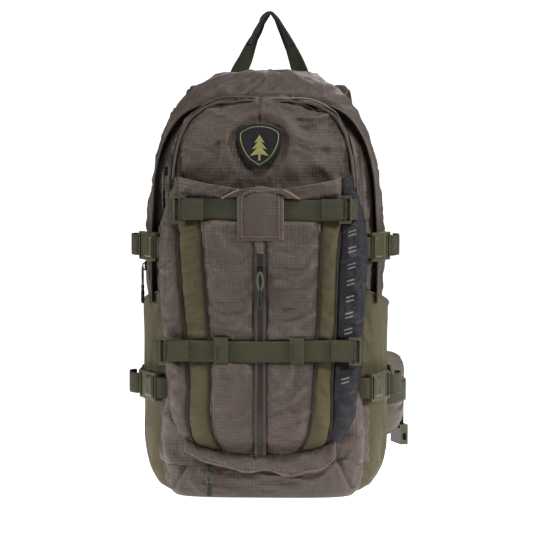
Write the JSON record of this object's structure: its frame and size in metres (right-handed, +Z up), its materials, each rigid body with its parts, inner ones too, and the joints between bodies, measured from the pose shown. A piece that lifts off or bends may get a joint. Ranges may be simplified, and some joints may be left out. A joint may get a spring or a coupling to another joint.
{
  "type": "hunting backpack",
  "caption": "Upright hunting daypack with arched front pocket, strapped front panel, side compression buckles, bottle pockets, padded harness and hip belt.",
  "frame": {"origin": "middle of the flat base that the pack stands on", "axes": "+Z up, -Y the pack's front with its pockets, +Y the wearer's side with the harness, +X to the right seen from the front"},
  "size_m": [0.3395, 0.3133, 0.5736],
  "materials": {
    "ripstop": "matte",
    "olive_cloth": "matte",
    "webbing": "matte",
    "mesh_foam": "matte",
    "buckle_plastic": "satin",
    "dark_metal": "satin",
    "zip": "matte",
    "pull_rubber": "satin",
    "badge_rubber": "satin",
    "frame_plastic": "matte"
  },
  "bodies": {
    "bag": {"back_panel": "mesh_foam", "badge": "badge_rubber", "base_pocket": "ripstop", "buckle_female_lower_left": "buckle_plastic", "buckle_female_lower_right": "buckle_plastic", "buckle_female_upper_left": "buckle_plastic", "buckle_female_upper_right": "buckle_plastic", "centre_zip": "zip", "frame_sheet": "frame_plastic", "front_panel": "ripstop", "front_pocket": "ripstop", "front_zip": "zip", "lower_front_strap": "webbing", "lower_hook_left": "dark_metal", "lower_hook_right": "dark_metal", "main_bag": "ripstop", "main_zip": "zip", "shoulder_webbing_left": "webbing", "shoulder_webbing_right": "webbing", "side_pocket_left": "olive_cloth", "side_pocket_right": "olive_cloth", "strap_stub_lower_left": "webbing", "strap_stub_lower_right": "webbing", "strap_stub_upper_left": "webbing", "strap_stub_upper_right": "webbing", "top_front_strap": "webbing", "top_hook_left": "dark_metal", "top_hook_right": "dark_metal"},
    "handle": {"carry_handle": "webbing"},
    "flap": {"keeper_flap": "ripstop"},
    "male_upper_left": {"buckle_male_upper_left": "buckle_plastic", "strap_rear_upper_left": "webbing"},
    "male_upper_right": {"buckle_male_upper_right": "buckle_plastic", "strap_rear_upper_right": "webbing"},
    "male_lower_left": {"buckle_male_lower_left": "buckle_plastic", "strap_rear_lower_left": "webbing"},
    "male_lower_right": {"buckle_male_lower_right": "buckle_plastic", "strap_rear_lower_right": "webbing"},
    "harness": {"shoulder_pad_left": "mesh_foam", "shoulder_pad_right": "mesh_foam", "ladder_lock_left": "buckle_plastic", "ladder_lock_right": "buckle_plastic"},
    "sternum": {"sternum_female": "buckle_plastic", "sternum_strap_right": "webbing"},
    "sternum_male": {"sternum_male": "buckle_plastic", "sternum_strap_left": "webbing"},
    "wing_left": {"hip_wing_left": "ripstop", "hip_webbing_left": "webbing", "hip_male": "buckle_plastic"},
    "wing_right": {"hip_wing_right": "ripstop", "hip_webbing_right": "webbing", "hip_female": "buckle_plastic"},
    "centre_slider": {"centre_slider": "zip"},
    "centre_pull": {"centre_pull": "pull_rubber"},
    "base_slider": {"base_slider": "zip"},
    "base_pull": {"base_pull": "pull_rubber"},
    "front_slider": {"front_slider": "zip"},
    "front_pull": {"front_pull": "pull_rubber"},
    "main_slider": {"main_slider": "zip"},
    "main_pull": {"main_pull": "pull_rubber"}
  },
  "joints": [
    {"name": "handle_tilt", "type": "hinge", "parent": "bag", "child": "handle", "pos_m": [0, 0.0765, 0.484], "axis": [1, 0, 0], "range_deg": [-75, 35]},
    {"name": "flap_lift", "type": "hinge", "parent": "bag", "child": "flap", "pos_m": [0, -0.1005, 0.364], "axis": [-1, 0, 0], "range_deg": [0, 110]},
    {"name": "release_upper_left", "type": "slide", "parent": "bag", "child": "male_upper_left", "axis": [-0.53, 0.848, 0], "range_m": [0, 0.02]},
    {"name": "release_upper_right", "type": "slide", "parent": "bag", "child": "male_upper_right", "axis": [0.53, 0.848, 0], "range_m": [0, 0.02]},
    {"name": "release_lower_left", "type": "slide", "parent": "bag", "child": "male_lower_left", "axis": [-0.53, 0.848, 0], "range_m": [0, 0.02]},
    {"name": "release_lower_right", "type": "slide", "parent": "bag", "child": "male_lower_right", "axis": [0.53, 0.848, 0], "range_m": [0, 0.02]},
    {"name": "harness_lift", "type": "hinge", "parent": "bag", "child": "harness", "pos_m": [0, 0.0925, 0.459], "axis": [1, 0, 0], "range_deg": [0, 18]},
    {"name": "sternum_height", "type": "slide", "parent": "harness", "child": "sternum", "axis": [0, 0, 1], "range_m": [-0.03, 0.03]},
    {"name": "sternum_release", "type": "slide", "parent": "sternum", "child": "sternum_male", "axis": [-1, 0, 0], "range_m": [0, 0.016]},
    {"name": "wing_left_fold", "type": "hinge", "parent": "bag", "child": "wing_left", "pos_m": [-0.104, 0.0935, 0.1], "axis": [0, 0, 1], "range_deg": [-20, 35]},
    {"name": "wing_right_fold", "type": "hinge", "parent": "bag", "child": "wing_right", "pos_m": [0.104, 0.0935, 0.1], "axis": [0, 0, 1], "range_deg": [-12, 45]},
    {"name": "centre_zip_run", "type": "slide", "parent": "bag", "child": "centre_slider", "axis": [0, 0, 1], "range_m": [-0.07, 0]},
    {"name": "centre_pull_swing", "type": "hinge", "parent": "centre_slider", "child": "centre_pull", "pos_m": [-0.0025, -0.1014, 0.268], "axis": [-1, 0, 0], "range_deg": [0, 80]},
    {"name": "base_zip_run", "type": "slide", "parent": "bag", "child": "base_slider", "axis": [1, 0, 0], "range_m": [0, 0.11]},
    {"name": "base_pull_swing", "type": "hinge", "parent": "base_slider", "child": "base_pull", "pos_m": [-0.062, -0.0939, 0.034], "axis": [-1, 0, 0], "range_deg": [0, 80]},
    {"name": "front_zip_run", "type": "slide", "parent": "bag", "child": "front_slider", "axis": [0, 0, 1], "range_m": [-0.03, 0]},
    {"name": "front_pull_swing", "type": "hinge", "parent": "front_slider", "child": "front_pull", "pos_m": [-0.117, -0.06, 0.382], "axis": [0, 1, 0], "range_deg": [0, 80]},
    {"name": "main_zip_run", "type": "slide", "parent": "bag", "child": "main_slider", "axis": [0, 0, 1], "range_m": [-0.03, 0]},
    {"name": "main_pull_swing", "type": "hinge", "parent": "main_slider", "child": "main_pull", "pos_m": [-0.1449, -0.026, 0.268], "axis": [0, 1, 0], "range_deg": [0, 80]}
  ]
}
